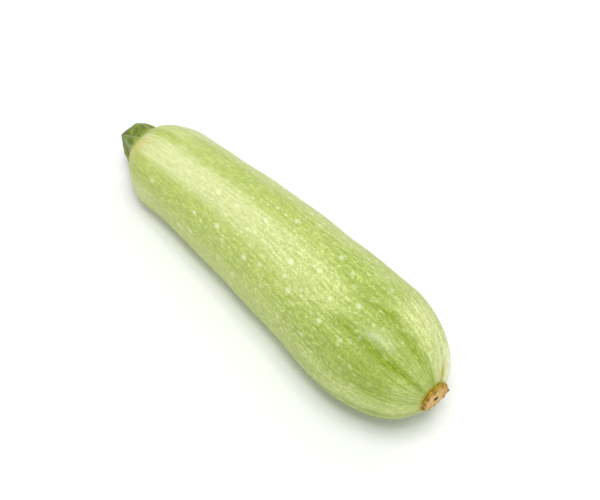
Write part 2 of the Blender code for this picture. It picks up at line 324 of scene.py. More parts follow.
def smooth_curve(places, values):
    """Reads the natural cubic curve through the given points at an array of places."""
    gaps = np.diff(places)
    rises = np.diff(values) / gaps
    last = len(places) - 1
    system = np.eye(last + 1)
    changes = np.zeros(last + 1)
    for i in range(1, last):
        system[i, i - 1:i + 2] = gaps[i - 1], 2.0 * (gaps[i - 1] + gaps[i]), gaps[i]
        changes[i] = 6.0 * (rises[i] - rises[i - 1])
    bends = np.linalg.solve(system, changes)

    def value_at(place):
        i = np.clip(np.searchsorted(places, place) - 1, 0, last - 1)
        back = places[i + 1] - place
        ahead = place - places[i]
        curved = (bends[i] * back**3 + bends[i + 1] * ahead**3) / (6.0 * gaps[i])
        start = (values[i] / gaps[i] - bends[i] * gaps[i] / 6.0) * back
        end = (values[i + 1] / gaps[i] - bends[i + 1] * gaps[i] / 6.0) * ahead
        return curved + start + end

    return value_at


STATION_PLACES = np.array([share * FRUIT_LENGTH for share, _, _ in STATIONS])
barrel_radius = smooth_curve(STATION_PLACES, np.array([radius * MM for _, radius, _ in STATIONS]))
sideways_shift = smooth_curve(STATION_PLACES, np.array([shift * MM for _, _, shift in STATIONS]))


def smoothstep(low, high, value):
    """Goes smoothly from 0 at low to 1 at high, which may also be the smaller of the two."""
    share = np.clip((value - low) / (high - low), 0.0, 1.0)
    return share * share * (3.0 - 2.0 * share)


def bump(value, reach):
    """1 where the value is 0, falling smoothly on both sides to about a third at the reach."""
    return np.exp(-((value / reach) ** 2))


def angles_round(count):
    """Evenly spaced angles, once round."""
    return np.arange(count) * 2.0 * math.pi / count


def half_turned(angle):
    """The same angle, between half a turn back and half a turn on."""
    return (angle + math.pi) % (2.0 * math.pi) - math.pi


def degrees_from(angle, middle):
    """Signed angle, in degrees, from a middle that is given in degrees."""
    return (np.degrees(angle) - middle + 180.0) % 360.0 - 180.0


def distance_from_end(end_length, share):
    """How far from its end a rounded end of the fruit has reached this share of its radius."""
    return end_length * (1.0 - np.cos(np.arcsin(share)))


STEM_SEAT_SHARE = STEM_SEAT_RADIUS / float(barrel_radius(0.0))
STEM_SEAT_PLACE = float(distance_from_end(SHOULDER_LENGTH, STEM_SEAT_SHARE))
SCAR_SEAT_SHARE = SCAR_SEAT_RADIUS / float(barrel_radius(FRUIT_LENGTH))
SCAR_SEAT_PLACE = FRUIT_LENGTH - float(distance_from_end(BLOSSOM_DOME_LENGTH, SCAR_SEAT_SHARE))


def rib_relief(place, angle):
    """How far the ribs stand out of or under the skin's mean radius."""
    shoulder = bump(place - SHOULDER_RIB_PLACE, SHOULDER_RIB_REACH)
    broad = RIB_HEIGHT + (SHOULDER_RIB_HEIGHT - RIB_HEIGHT) * shoulder
    low = LOW_RIB_HEIGHT + PUCKER_HEIGHT * bump(FRUIT_LENGTH - place, PUCKER_REACH)
    turn = RIBS * (angle - RIB_ANGLE)
    return broad * np.cos(turn) + low * np.cos(2.0 * turn)


class Waves:
    """A smooth, repeatable unevenness: plane waves of about one length in every direction."""

    COUNT = 28

    def __init__(self, seed, length, stretch=1.0):
        draw = np.random.default_rng(seed)
        ways = draw.normal(size=(self.COUNT, 3))
        ways /= np.linalg.norm(ways, axis=1)[:, None]
        self.steps = ways * (2.0 * math.pi / length * draw.uniform(0.7, 1.4, self.COUNT))[:, None]
        self.steps[:, 0] /= stretch
        self.starts = draw.uniform(0.0, 2.0 * math.pi, self.COUNT)
        self.scale = math.sqrt(2.0 / self.COUNT)

    def at(self, spots):
        """The unevenness at places in space, three numbers for each."""
        total = np.zeros(spots.shape[:-1])
        for step, start in zip(self.steps, self.starts):
            total += np.cos(spots @ step + start)
        return total * self.scale

    def __call__(self, place, angle, radius=MEAN_RADIUS):
        """The unevenness at places given along and round the fruit's axis."""
        return self.at(np.stack([place, radius * np.cos(angle), radius * np.sin(angle)], -1))


def grid_mesh(name, points):
    """A smooth mesh over rings of points, shape (rings, around, 3), with its two ends filled."""
    rings, around = points.shape[:2]
    index = np.arange(rings * around).reshape(rings, around)
    ahead = np.roll(index, -1, axis=1)
    faces = np.stack([index[:-1], ahead[:-1], ahead[1:], index[1:]], -1).reshape(-1, 4).tolist()
    faces.append(index[0][::-1].tolist())
    faces.append(index[-1].tolist())
    mesh = bpy.data.meshes.new(name)
    mesh.from_pydata(points.reshape(-1, 3).tolist(), [], faces)
    mesh.update()
    mesh.shade_smooth()
    return mesh


def store(mesh, name, values):
    """Keeps a number, or three, for each point of the mesh, for the materials to read."""
    kind, key = ("FLOAT_VECTOR", "vector") if values.ndim == 3 else ("FLOAT", "value")
    data = mesh.attributes.new(name, kind, "POINT").data
    data.foreach_set(key, values.astype(np.float32).ravel())


def add_piece(name, mesh, material, node):
    """Puts a piece where the node that it stands for is."""
    mesh.transform(Matrix.Translation(WHOLE_PLACE) @ Matrix.Rotation(-LEAN, 4, "Y"))
    mesh.materials.append(material)
    piece = bpy.data.objects.new(name, mesh)
    bpy.context.scene.collection.objects.link(piece)
    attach(piece, "root")
    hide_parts(node)


# Materials


class Graph:
    """Short calls for building a material out of nodes."""

    def __init__(self, name):
        self.material = bpy.data.materials.new(name)
        self.material.use_nodes = True
        self.tree = self.material.node_tree
        self.shader = self.tree.nodes["Principled BSDF"]

    def feed(self, socket, value):
        if isinstance(value, bpy.types.NodeSocket):
            self.tree.links.new(value, socket)
        elif value is not None:
            socket.default_value = value

    def calculate(self, operation, first, second=None, clamp=False):
        """One operation on numbers."""
        node = self.tree.nodes.new("ShaderNodeMath")
        node.operation = operation
        node.use_clamp = clamp
        for socket, value in zip(node.inputs, (first, second)):
            self.feed(socket, value)
        return node.outputs[0]

    def add(self, first, second):
        return self.calculate("ADD", first, second)

    def less(self, first, second):
        return self.calculate("SUBTRACT", first, second)

    def times(self, first, second):
        return self.calculate("MULTIPLY", first, second)

    def step(self, value, low, high, start=0.0, end=1.0):
        """A smooth change from start to end while the value goes from low to high."""
        node = self.tree.nodes.new("ShaderNodeMapRange")
        node.interpolation_type = "SMOOTHSTEP"
        for name, number in (
            ("Value", value),
            ("From Min", low),
            ("From Max", high),
            ("To Min", start),
            ("To Max", end),
        ):
            self.feed(node.inputs[name], number)
        return node.outputs["Result"]

    def mix(self, share, first, second, blend="MIX"):
        """A colour that goes from the first to the second with the share."""
        node = self.tree.nodes.new("ShaderNodeMix")
        node.data_type = "RGBA"
        node.blend_type = blend
        self.feed(node.inputs["Factor"], share)
        colour_inputs = [socket for socket in node.inputs if socket.type == "RGBA"]
        for socket, value in zip(colour_inputs, (first, second)):
            self.feed(socket, value)
        return next(socket for socket in node.outputs if socket.type == "RGBA")

    def tinted(self, base, strength, pattern, low, high, tints):
        """The base times a tint, the first where the pattern is low and the second where it is high."""
        tone = self.mix(self.step(pattern, low, high), *tints)
        return self.mix(strength, base, tone, "MULTIPLY")

    def stored(self, name, output="Fac"):
        """Reads what store() keeps on the mesh."""
        node = self.tree.nodes.new("ShaderNodeAttribute")
        node.attribute_name = name
        return node.outputs[output]

    def combined(self, operation, first, second):
        """One operation on vectors."""
        node = self.tree.nodes.new("ShaderNodeVectorMath")
        node.operation = operation
        self.feed(node.inputs[0], first)
        self.feed(node.inputs[1], second)
        return node.outputs[0]

    def stretched(self, vector, along, across=1.0):
        """A place whose measure along the fruit is made smaller, which draws patterns out that way."""
        return self.combined("MULTIPLY", vector, (along, across, across))

    def noise(self, vector, scale, detail=2.0, roughness=0.5, distortion=0.0, output="Fac"):
        node = self.tree.nodes.new("ShaderNodeTexNoise")
        self.feed(node.inputs["Vector"], vector)
        node.inputs["Scale"].default_value = scale
        node.inputs["Detail"].default_value = detail
        node.inputs["Roughness"].default_value = roughness
        node.inputs["Distortion"].default_value = distortion
        return node.outputs[output]

    def turn_of(self, vector):
        """The angle round the fruit's axis, in radians, of a place on its skin."""
        node = self.tree.nodes.new("ShaderNodeSeparateXYZ")
        self.feed(node.inputs[0], vector)
        return self.calculate("ARCTAN2", node.outputs["Z"], node.outputs["Y"])

    def cells(self, vector, scale):
        """Distance to the middle of the nearest cell, and that cell's own random number."""
        node = self.tree.nodes.new("ShaderNodeTexVoronoi")
        self.feed(node.inputs["Vector"], vector)
        node.inputs["Scale"].default_value = scale
        split = self.tree.nodes.new("ShaderNodeSeparateColor")
        self.tree.links.new(node.outputs["Color"], split.inputs["Color"])
        return node.outputs["Distance"], split.outputs["Red"]

    def surface(self, base, roughness, specular):
        """Gives the shader its colour, its roughness and how strongly it mirrors."""
        self.feed(self.shader.inputs["Base Color"], base)
        self.feed(self.shader.inputs["Roughness"], roughness)
        self.shader.inputs["Specular IOR Level"].default_value = specular

    def bumpy(self, height, strength, depth):
        """Gives the shader the small bumps of a height pattern."""
        node = self.tree.nodes.new("ShaderNodeBump")
        node.inputs["Strength"].default_value = strength
        node.inputs["Distance"].default_value = depth
        self.feed(node.inputs["Height"], height)
        self.feed(self.shader.inputs["Normal"], node.outputs["Normal"])


def colour(red, green, blue):
    """Linear colour from the usual 0 to 255 display values."""
    linear = []
    for value in (red, green, blue):
        share = value / 255.0
        linear.append(share / 12.92 if share <= 0.04045 else ((share + 0.055) / 1.055) ** 2.4)
    return (*linear, 1.0)


# Colours of the skin
PALE_AT_STEM = colour(220, 228, 162)
PALE_AT_BLOSSOM_END = colour(202, 216, 130)
GREEN_AT_STEM = colour(188, 204, 110)
GREEN_AT_BLOSSOM_END = colour(154, 175, 68)
GREEN_AT_SCAR = colour(178, 194, 106)
LINE_GREEN = colour(140, 164, 40)
CREAM = colour(232, 238, 172)
CREAM_AT_SCAR = colour(248, 252, 204)
TICK_WHITE = colour(248, 254, 205)
SPOT_WHITE = colour(250, 255, 210)
BLUSH_YELLOW = colour(214, 208, 106)
STAIN_BROWN = colour(188, 172, 44)
# The whitish painted highlight in the patch of shine
PAINTED_HIGHLIGHT_WHITE = colour(226, 238, 196)
# Tints that the skin's colour is multiplied by: the darker and the lighter one
GRAIN_TINTS = ((0.82, 0.84, 0.68, 1.0), (1.24, 1.21, 1.42, 1.0))
FINE_GRAIN_TINTS = ((0.87, 0.89, 0.78, 1.0), (1.22, 1.19, 1.36, 1.0))
ROW_TINTS = ((0.92, 0.93, 0.86, 1.0), (1.08, 1.07, 1.13, 1.0))
STREAK_TINTS = ((0.80, 0.82, 0.64, 1.0), (1.16, 1.14, 1.28, 1.0))

# Colours of the stem: where two are given, the first shows where the noise is low
STEM_GREENS = (colour(98, 116, 42), colour(144, 164, 62))
STEM_DARK_FIBRE = colour(88, 100, 44)
STEM_PALE_FIBRE = colour(168, 184, 104)
STEM_CREST = colour(168, 182, 128)
STEM_FOOT = colour(186, 200, 118)
STEM_RIM = colour(112, 118, 78)
STEM_FACE = (colour(150, 158, 96), colour(196, 196, 140))

# Colours of the scar, in the same way
SCAR_CORK = (colour(230, 184, 110), colour(242, 212, 146))
SCAR_CRACK = colour(172, 116, 56)
SCAR_RIM = colour(190, 136, 62)
SCAR_WALL = colour(172, 136, 32)
SCAR_FOOT = (colour(142, 116, 22), colour(182, 166, 50))
SCAR_NUB = colour(104, 66, 16)
# Painted shade in the pit
PIT_PAINTED_SHADE = colour(70, 54, 12)

# The floor
FLOOR_ROUGHNESS = 0.9
FLOOR_GREYS = ((0.94, 0.94, 0.94, 1.0), (0.95, 0.95, 0.95, 1.0))

# How fine the skin's patterns are, in waves or cells to the metre
WOBBLE_SCALE = 260.0
GRAIN_SCALE = 900.0
COARSE_GRAIN_SCALE = 300.0
PATCH_SCALE = 110.0
ROW_WANDER_SCALE = 130.0
FINE_GRAIN_SCALE = 1500.0
STREAK_SCALE = 620.0
TICK_SCALE = 560.0
TICK_PATCH_SCALE = 150.0
SHEEN_SCALE = 420.0
PORE_SCALE = 1500.0
# How far the wobble moves the grain, how strongly the skin mirrors, and the strength and depth of
# its pores and grain
WOBBLE_REACH = 1.2 * MM
SKIN_SPECULAR = 0.26
SKIN_BUMPS = (0.6, 0.18 * MM)

# The same for the stem and the scar
STEM_CLOUD_SCALE = 320.0
STEM_FIBRE_SCALE = 1500.0
STEM_PALE_FIBRE_SCALE = 900.0
STEM_FACE_SCALE = 900.0
STEM_PORE_SCALE = 1800.0
STEM_SPECULAR = 0.3
STEM_BUMPS = (0.6, 0.18 * MM)
SCAR_CLOUD_SCALE = 420.0
SCAR_CRACK_SCALE = 1300.0
SCAR_PORE_SCALE = 2200.0
SCAR_SPECULAR = 0.2
SCAR_BUMPS = (0.7, 0.3 * MM)


def skin_material():
    g = Graph("zucchini_skin")
    place = g.stored("skin_place", "Vector")
    share = g.stored("share_along")
    band = g.stored("band")
    line = g.stored("line")

    # The wavy grain that runs along the fruit: fine, coarse, and patches that are coarser still
    wobble = g.noise(place, WOBBLE_SCALE, output="Color")
    wavy_place = g.combined("ADD", place, g.stretched(wobble, WOBBLE_REACH, WOBBLE_REACH))
    grain = g.noise(g.stretched(wavy_place, 0.32), GRAIN_SCALE, 2.0, 0.55)
    coarse = g.noise(g.stretched(wavy_place, 0.30), COARSE_GRAIN_SCALE)
    patchy = g.noise(g.stretched(place, 0.30), PATCH_SCALE, 3.0, 0.55)

    # Fine rows along the fruit, which wander, break and draw together at both ends
    wander = g.noise(g.stretched(place, 0.30), ROW_WANDER_SCALE, 1.0)
    phase = g.add(g.times(g.turn_of(place), ROWS_ROUND), g.times(wander, ROW_WANDER))
    rows = g.calculate("SINE", phase)

    # Pale and green bands, whose borders break up along the grain
    pale = g.mix(g.step(share, 0.1, 0.9), PALE_AT_STEM, PALE_AT_BLOSSOM_END)
    green = g.mix(g.step(share, 0.58, 0.88), GREEN_AT_STEM, GREEN_AT_BLOSSOM_END)
    green = g.mix(g.step(share, 0.92, 0.96), green, GREEN_AT_SCAR)
    broken = g.add(g.less(grain, 0.5), g.times(g.less(coarse, 0.5), 0.4))
    broken = g.add(broken, g.times(g.less(patchy, 0.5), 0.15))
    at_border = g.times(g.times(band, g.less(1.0, band)), 4.0)
    broken = g.times(broken, g.step(at_border, 0.0, 0.6, 0.25, 1.0))
    base = g.mix(g.calculate("ADD", band, broken, clamp=True), pale, green)

    # Thin darker lines, and the creamy ribs near the scar
    base = g.mix(g.times(line, g.step(coarse, 0.30, 0.55, 0.70, 1.10)), base, LINE_GREEN)
    cream = g.mix(g.step(share, 0.93, 0.965), CREAM, CREAM_AT_SCAR)
    base = g.mix(g.stored("cream"), base, cream)

    # The grain darkens and lightens every band: more over the blossom half, though less in its pale
    # bands, and more in the green bands near the stem
    strength = g.add(g.step(share, 0.10, 0.45, 0.34, 0.60), g.step(share, 0.50, 0.78, 0.0, 0.40))
    calm = g.times(g.less(1.0, band), g.step(share, 0.65, 0.80, 0.0, 0.35))
    strength = g.times(strength, g.less(1.0, calm))
    strength = g.add(strength, g.times(band, g.step(share, 0.42, 0.22, 0.0, 0.34)))
    base = g.tinted(base, strength, grain, 0.36, 0.74, GRAIN_TINTS)
    fine = g.noise(g.stretched(wavy_place, 0.60), FINE_GRAIN_SCALE, 1.0)
    strength = g.step(share, 0.20, 0.70, 0.30, 0.80)
    base = g.tinted(base, strength, fine, 0.38, 0.70, FINE_GRAIN_TINTS)
    strength = g.times(g.step(share, 0.25, 0.60, 0.26, 0.90), g.step(share, 0.97, 0.86, 0.60, 1.0))
    strength = g.times(strength, g.step(coarse, 0.35, 0.60, 0.40, 1.0))
    base = g.tinted(base, strength, rows, -0.8, 0.9, ROW_TINTS)

    # Long streaks, strongest on the shoulder, that draw together at both ends
    streak = g.noise(g.stretched(place, 0.075), STREAK_SCALE, 2.0, 0.55)
    strength = g.add(g.step(share, 0.20, 0.50, 0.0, 0.14), g.step(share, 0.74, 0.95, 0.0, 0.20))
    strength = g.add(strength, g.step(share, 0.24, 0.06, 0.0, 0.45))
    base = g.tinted(base, strength, streak, 0.34, 0.66, STREAK_TINTS)

    # Small whitish ticks, about twice as long as they are wide
    tick, tick_chance = g.cells(g.stretched(wavy_place, 0.55), TICK_SCALE)
    ticks = g.times(g.step(tick, 0.44, 0.12), g.step(tick_chance, 0.30, 0.85))
    ticks = g.times(ticks, g.step(rows, -0.6, 0.4, 0.35, 1.0))
    dense = g.noise(place, TICK_PATCH_SCALE)
    ticks = g.times(g.times(ticks, g.step(dense, 0.30, 0.60, 0.35, 1.0)), g.step(share, 0.965, 0.90))
    base = g.mix(g.times(ticks, g.step(share, 0.02, 0.50, 0.18, 0.44)), base, TICK_WHITE)

    # Pale round spots, the yellower shoulder and the stain round the scar
    spots = g.times(g.stored("spot"), g.step(share, 0.80, 0.92, 0.58, 0.25))
    base = g.mix(spots, base, SPOT_WHITE)
    base = g.mix(g.stored("blush"), base, BLUSH_YELLOW)
    base = g.mix(g.stored("stain"), base, STAIN_BROWN)

    # The patch of shine: smoother skin, and a painted whitish highlight in its colour, both broken up
    gloss_and_painted_highlight = g.stored("gloss_and_painted_highlight")
    sheen = g.noise(g.stretched(place, 0.6), SHEEN_SCALE, 3.0, 0.6)
    base = g.mix(g.times(gloss_and_painted_highlight, g.step(sheen, 0.38, 0.62, 0.12, 0.42)), base, PAINTED_HIGHLIGHT_WHITE)
    roughness = g.less(g.step(sheen, 0.3, 0.7, 0.40, 0.58), g.times(gloss_and_painted_highlight, 0.12))
    g.surface(base, roughness, SKIN_SPECULAR)

    pores = g.noise(g.stretched(place, 0.6), PORE_SCALE, 2.0, 0.55)
    height = g.add(g.times(pores, 0.40), g.add(g.times(grain, 0.9), g.times(ticks, 0.30)))
    g.bumpy(height, *SKIN_BUMPS)
    return g.material


def stem_material():
    g = Graph("zucchini_stem")
    place = g.stored("stem_place", "Vector")
    cloudy = g.noise(g.stretched(place, 0.5), STEM_CLOUD_SCALE, 3.0, 0.6)
    base = g.mix(g.step(cloudy, 0.38, 0.62), *STEM_GREENS)
    fibre = g.noise(g.stretched(place, 0.12), STEM_FIBRE_SCALE, 3.0, 0.6)
    base = g.mix(g.times(g.step(fibre, 0.46, 0.64), 0.5), base, STEM_DARK_FIBRE)
    pale_fibre = g.noise(g.stretched(place, 0.10), STEM_PALE_FIBRE_SCALE)
    base = g.mix(g.times(g.step(pale_fibre, 0.56, 0.72), 0.4), base, STEM_PALE_FIBRE)
    crest = g.times(g.stored("crest"), g.step(cloudy, 0.35, 0.60, 0.55, 0.35))
    base = g.mix(crest, base, STEM_CREST)
    base = g.mix(g.step(g.stored("rise"), 0.20, 0.0, 0.0, 0.5), base, STEM_FOOT)
    base = g.mix(g.times(g.stored("rim"), 0.75), base, STEM_RIM)
    face_noise = g.noise(place, STEM_FACE_SCALE, 3.0, 0.65)
    base = g.mix(g.stored("cut"), base, g.mix(g.step(face_noise, 0.38, 0.66), *STEM_FACE))
    g.surface(base, g.step(cloudy, 0.3, 0.7, 0.55, 0.72), STEM_SPECULAR)
    g.bumpy(g.add(g.times(fibre, 0.6), g.noise(place, STEM_PORE_SCALE)), *STEM_BUMPS)
    return g.material


def scar_material():
    g = Graph("zucchini_scar")
    place = g.stored("scar_place", "Vector")
    cloudy = g.noise(place, SCAR_CLOUD_SCALE, 4.0, 0.6)
    base = g.mix(g.step(cloudy, 0.34, 0.66), *SCAR_CORK)
    cracks = g.noise(place, SCAR_CRACK_SCALE, 3.0, 0.65, 0.8)
    base = g.mix(g.times(g.step(cracks, 0.52, 0.7), 0.5), base, SCAR_CRACK)
    base = g.mix(g.times(g.stored("rim"), 0.45), base, SCAR_RIM)
    base = g.mix(g.times(g.stored("wall"), 0.9), base, SCAR_WALL)
    foot = g.mix(g.step(cloudy, 0.40, 0.60), *SCAR_FOOT)
    base = g.mix(g.times(g.stored("foot"), 0.85), base, foot)
    base = g.mix(g.times(g.stored("nub"), 0.9), base, SCAR_NUB)
    # The pit is darkened with painted shade
    base = g.mix(g.stored("pit"), base, PIT_PAINTED_SHADE)
    g.surface(base, g.step(cloudy, 0.3, 0.7, 0.7, 0.9), SCAR_SPECULAR)
    g.bumpy(g.add(g.times(cracks, 0.8), g.noise(place, SCAR_PORE_SCALE)), *SCAR_BUMPS)
    return g.material


def floor_material():
    g = Graph("pale_floor")
    g.surface(g.mix(g.noise(None, 3.0), *FLOOR_GREYS), FLOOR_ROUGHNESS, 0.0)
    return g.material


# The fruit

UNEVEN = Waves(3, 34.0 * MM)
FINE_UNEVEN = Waves(5, 9.0 * MM, stretch=2.0)
WANDER = Waves(11, 26.0 * MM, stretch=1.6)
FINE_WANDER = Waves(12, 6.0 * MM, stretch=1.2)
PATCHES = Waves(13, 14.0 * MM, stretch=2.2)


def fruit_places():
    """Places along the axis and the share of the barrel's radius there, from pole to pole."""
    first = math.asin(STEM_SEAT_SHARE) * HIDDEN_RING_SHARE
    turn = np.linspace(first, math.pi / 2.0, FRUIT_RINGS[0], endpoint=False)
    shoulder = (SHOULDER_LENGTH * (1.0 - np.cos(turn)), np.sin(turn))
    start, end = SHOULDER_LENGTH, FRUIT_LENGTH - BLOSSOM_DOME_LENGTH
    barrel = np.linspace(start, end, FRUIT_RINGS[1], endpoint=False)
    last = math.asin(SCAR_SEAT_SHARE) * HIDDEN_RING_SHARE
    turn = np.linspace(math.pi / 2.0, last, FRUIT_RINGS[2])
    dome = (FRUIT_LENGTH - BLOSSOM_DOME_LENGTH * (1.0 - np.cos(turn)), np.sin(turn))
    places = np.concatenate([shoulder[0], barrel, dome[0]])
    shares = np.concatenate([shoulder[1], np.ones_like(barrel), dome[1]])
    return places, shares


def region(place, angle, start, full, middle, reach):
    """A part of the skin: along the fruit in millimetres, and round it in degrees."""
    return smoothstep(start * MM, full * MM, place) * bump(degrees_from(angle, middle), reach)


def turned_angle(place, angle):
    """The angle that decides which band or line a place is in, as these wander a little."""
    wander = 1.2 * WANDER(place, angle) + 0.8 * FINE_WANDER(place, angle)
    wander *= 1.0 - 0.6 * smoothstep(140.0 * MM, 170.0 * MM, place)
    for change, *where in TURN_CHANGES:
        wander += change * region(place, angle, *where)
    return angle + np.radians(wander)


def green_bands(place, angle, turned):
    """From 0 in a pale band to 1 in a green one."""
    widest = bump(place - 115.0 * MM, 32.0 * MM)
    half_width, border = PALE_HALF_WIDTH + 2.5 * widest, PALE_BORDER + 3.0 * widest
    stem_half = np.ones_like(place)
    blossom_half = np.zeros_like(place)
    for middle, paleness, late_paleness in PALE_BANDS:
        away = np.abs(degrees_from(turned, middle))
        stem_half -= paleness * smoothstep(half_width + border, half_width - border, away)
        blossom_half += (1.0 - late_paleness) * smoothstep(22.0, 13.0, away)
    for middle, greenness in GREEN_BANDS:
        blossom_half += greenness * smoothstep(29.0, 8.0, np.abs(degrees_from(turned, middle)))
    late = smoothstep(120.0 * MM, 158.0 * MM, place + 4.0 * MM * PATCHES(place, angle))
    band = stem_half * (1.0 - late) + blossom_half * late
    for change, *where in BAND_CHANGES:
        band += change * region(place, angle, *where)
    # The green beside the top reaches into the blossom half for a stretch, and ends there
    stretch = smoothstep(118.0 * MM, 134.0 * MM, place) * smoothstep(166.0 * MM, 146.0 * MM, place)
    band += 0.45 * stretch * bump(degrees_from(turned, -18.0), 11.0)
    return np.clip(band, 0.0, 1.0)


def dark_lines(place, angle, turned):
    """The thin darker lines, which come in over the blossom half and fade at the scar."""
    line = np.zeros_like(place)
    widening = 0.7 + 0.5 * smoothstep(120.0 * MM, 170.0 * MM, place)
    for middle, strength, half_width in DARK_LINES:
        across = bump(degrees_from(turned, middle), half_width * widening)
        line = np.maximum(line, strength * across)
    line *= 0.06 + 0.94 * smoothstep(112.0 * MM, 160.0 * MM, place)
    line *= 1.0 - 0.50 * smoothstep(173.0 * MM, 187.0 * MM, place)
    line *= np.clip(0.9 + 0.2 * PATCHES(place, angle + 1.0), 0.5, 1.0)
    # The line at the top comes in late, and is stronger and broader at its end
    line *= 1.0 - 0.6 * region(place, angle, 158.0, 140.0, -6.5, 9.0)
    line += 0.40 * region(place, angle, 168.0, 178.0, -9.0, 7.0)
    return np.clip(line, 0.0, 1.0)


def creamy_ribs(place, turned):
    """A streaky cream rib that fades a little at its end, and beside it a plain one near the scar."""
    streaks = 0.5 + 0.5 * np.cos(np.radians(degrees_from(turned, -36.0)) * 30.0)
    cream = region(place, turned, 150.0, 170.0, -38.0, 22.0)
    cream *= (0.56 + 0.20 * streaks) * (1.0 - 0.35 * smoothstep(174.0 * MM, 184.0 * MM, place))
    end_rib = region(place, turned, 170.0, 183.0, -74.0, 27.0)
    return np.clip(np.maximum(cream, end_rib), 0.0, 1.0)


def round_spots(place, angle, radius):
    """Pale round spots of 1 to 3 mm: the chosen ones, and others scattered between them."""
    total = np.zeros_like(place)
    ring_places = place[:, 0]
    draw = np.random.default_rng(21)
    chosen = [
        (s * MM, math.radians(a), draw.uniform(*CHOSEN_SIZES) * MM, draw.uniform(*CHOSEN_STRENGTHS))
        for s, a in CHOSEN_SPOTS
    ]
    spots = list(chosen)
    for ring in np.arange(FIRST_SPOTS, LAST_SPOTS, SPOT_SPACING):
        ring_radius = float(np.interp(ring, ring_places, radius[:, 0]))
        count = max(6, int(2.0 * math.pi * ring_radius / SPOT_SPACING))
        for i in range(count):
            a = half_turned((i + draw.uniform(0.1, 0.9)) * 2.0 * math.pi / count)
            s = ring + draw.uniform(*SPOT_SHIFTS) * MM
            size = draw.uniform(*SPOT_SIZES) * MM
            strength = draw.uniform(*SPOT_STRENGTHS)
            if not any(
                abs(near_s - s) < SPOT_CLEARANCE and abs(near_a - a) * ring_radius < SPOT_CLEARANCE
                for near_s, near_a, _, _ in chosen
            ):
                spots.append((s, a, size, strength))
    # Each spot is a little longer along the fruit than across it
    for s, a, size, strength in spots:
        near_rings = np.where(np.abs(ring_places - s) < SPOT_REACH)[0]
        part = slice(near_rings[0], near_rings[-1] + 1)
        across = half_turned(angle[part] - a)
        far = np.hypot((place[part] - s) / (1.15 * size), across * radius[part] / size)
        total[part] = np.maximum(total[part], strength * smoothstep(1.30, 0.45, far))
    return total


def shoulder_blush(place, angle):
    """The yellow blush, cloudy and strongest on one side."""
    blush = BLUSH_STRENGTH * bump(place - BLUSH_PLACE, BLUSH_LENGTH)
    blush *= 0.35 + 0.65 * bump(degrees_from(angle, BLUSH_ANGLE), BLUSH_WIDTH)
    blush *= np.clip(0.75 + 0.4 * PATCHES(place, angle), 0.0, 1.0)
    return np.clip(blush, 0.0, 1.0)


def shine(place, angle, line):
    """The patch of shine, smoother skin with a painted highlight, which leaves out the dark lines."""
    past = place - SHINE_PLACE
    away = degrees_from(angle, SHINE_ANGLE - SHINE_TURN * past / MM)
    return bump(past, SHINE_LENGTH) * bump(away, SHINE_WIDTH) * (1.0 - line)


def scar_stain(place, angle, share):
    """The stain hugs the scar's seat, at the blossom end only, with one streak out of it."""
    from_seat = (share - SCAR_SEAT_SHARE) * MEAN_RADIUS
    on_dome = place > FRUIT_LENGTH - BLOSSOM_DOME_LENGTH
    stain = STAIN_STRENGTH * bump(from_seat, STAIN_REACH) * on_dome
    streak = region(place, angle, 183.5, 187.5, STAIN_STREAK_ANGLE, STAIN_STREAK_WIDTH)
    return np.maximum(stain, STAIN_STREAK_STRENGTH * streak)


def fine_relief(place, angle, line):
    """Unevenness, grooves along the dark lines, and wrinkles and creases at the two ends."""
    uneven = UNEVEN(place, angle)
    relief = UNEVEN_HEIGHT * uneven + FINE_UNEVEN_HEIGHT * FINE_UNEVEN(place, angle)
    relief -= LINE_GROOVE_DEPTH * line
    broad, narrow = WRINKLES_ROUND
    wrinkles = np.cos(broad * angle + 2.0 * uneven) + 0.7 * np.cos(narrow * angle + 1.0)
    relief += WRINKLE_HEIGHT * wrinkles * bump(FRUIT_LENGTH - place, WRINKLE_REACH)
    creases = np.cos(CREASES_ROUND * (angle - RIB_ANGLE) + 1.5 * WANDER(place, angle))
    relief += CREASE_HEIGHT * creases * bump(place, CREASE_REACH)
    return relief


def make_fruit():
    places, shares = fruit_places()
    place, angle = np.meshgrid(places, angles_round(FRUIT_AROUND), indexing="ij")
    share = np.repeat(shares[:, None], FRUIT_AROUND, axis=1)
    turned = turned_angle(place, angle)
    line = dark_lines(place, angle, turned)
    relief = rib_relief(place, angle) + fine_relief(place, angle, line)
    radius = share * (barrel_radius(place) + relief)
    y = sideways_shift(place) - radius * np.sin(angle)
    points = np.stack([place, y, radius * np.cos(angle)], -1)

    # The belly rests on the ground: nothing of the skin goes below it
    down = np.array([math.sin(LEAN), 0.0, math.cos(LEAN)])
    low = -(points @ down + WHOLE_PLACE[2])
    points += np.clip(low, 0.0, None)[..., None] * down

    mesh = grid_mesh("zucchini_fruit", points)
    skin_place = np.stack([place, MEAN_RADIUS * np.cos(angle), MEAN_RADIUS * np.sin(angle)], -1)
    store(mesh, "skin_place", skin_place)
    store(mesh, "share_along", place / FRUIT_LENGTH)
    store(mesh, "band", green_bands(place, angle, turned))
    store(mesh, "line", line)
    store(mesh, "cream", creamy_ribs(place, turned))
    store(mesh, "spot", round_spots(place, angle, radius))
    store(mesh, "blush", shoulder_blush(place, angle))
    # The patch of shine: smoother skin and a painted highlight
    store(mesh, "gloss_and_painted_highlight", shine(place, angle, line))
    store(mesh, "stain", scar_stain(place, angle, share))
    add_piece("zucchini_fruit", mesh, skin_material(), "fruit")


# The stem


def fork_middle(middle, share):
    """Where the fork of a ridge is: beside the ridge at the foot, and on it at the cut."""
    return middle - STEM_FORK_ANGLE * (1.0 - share)


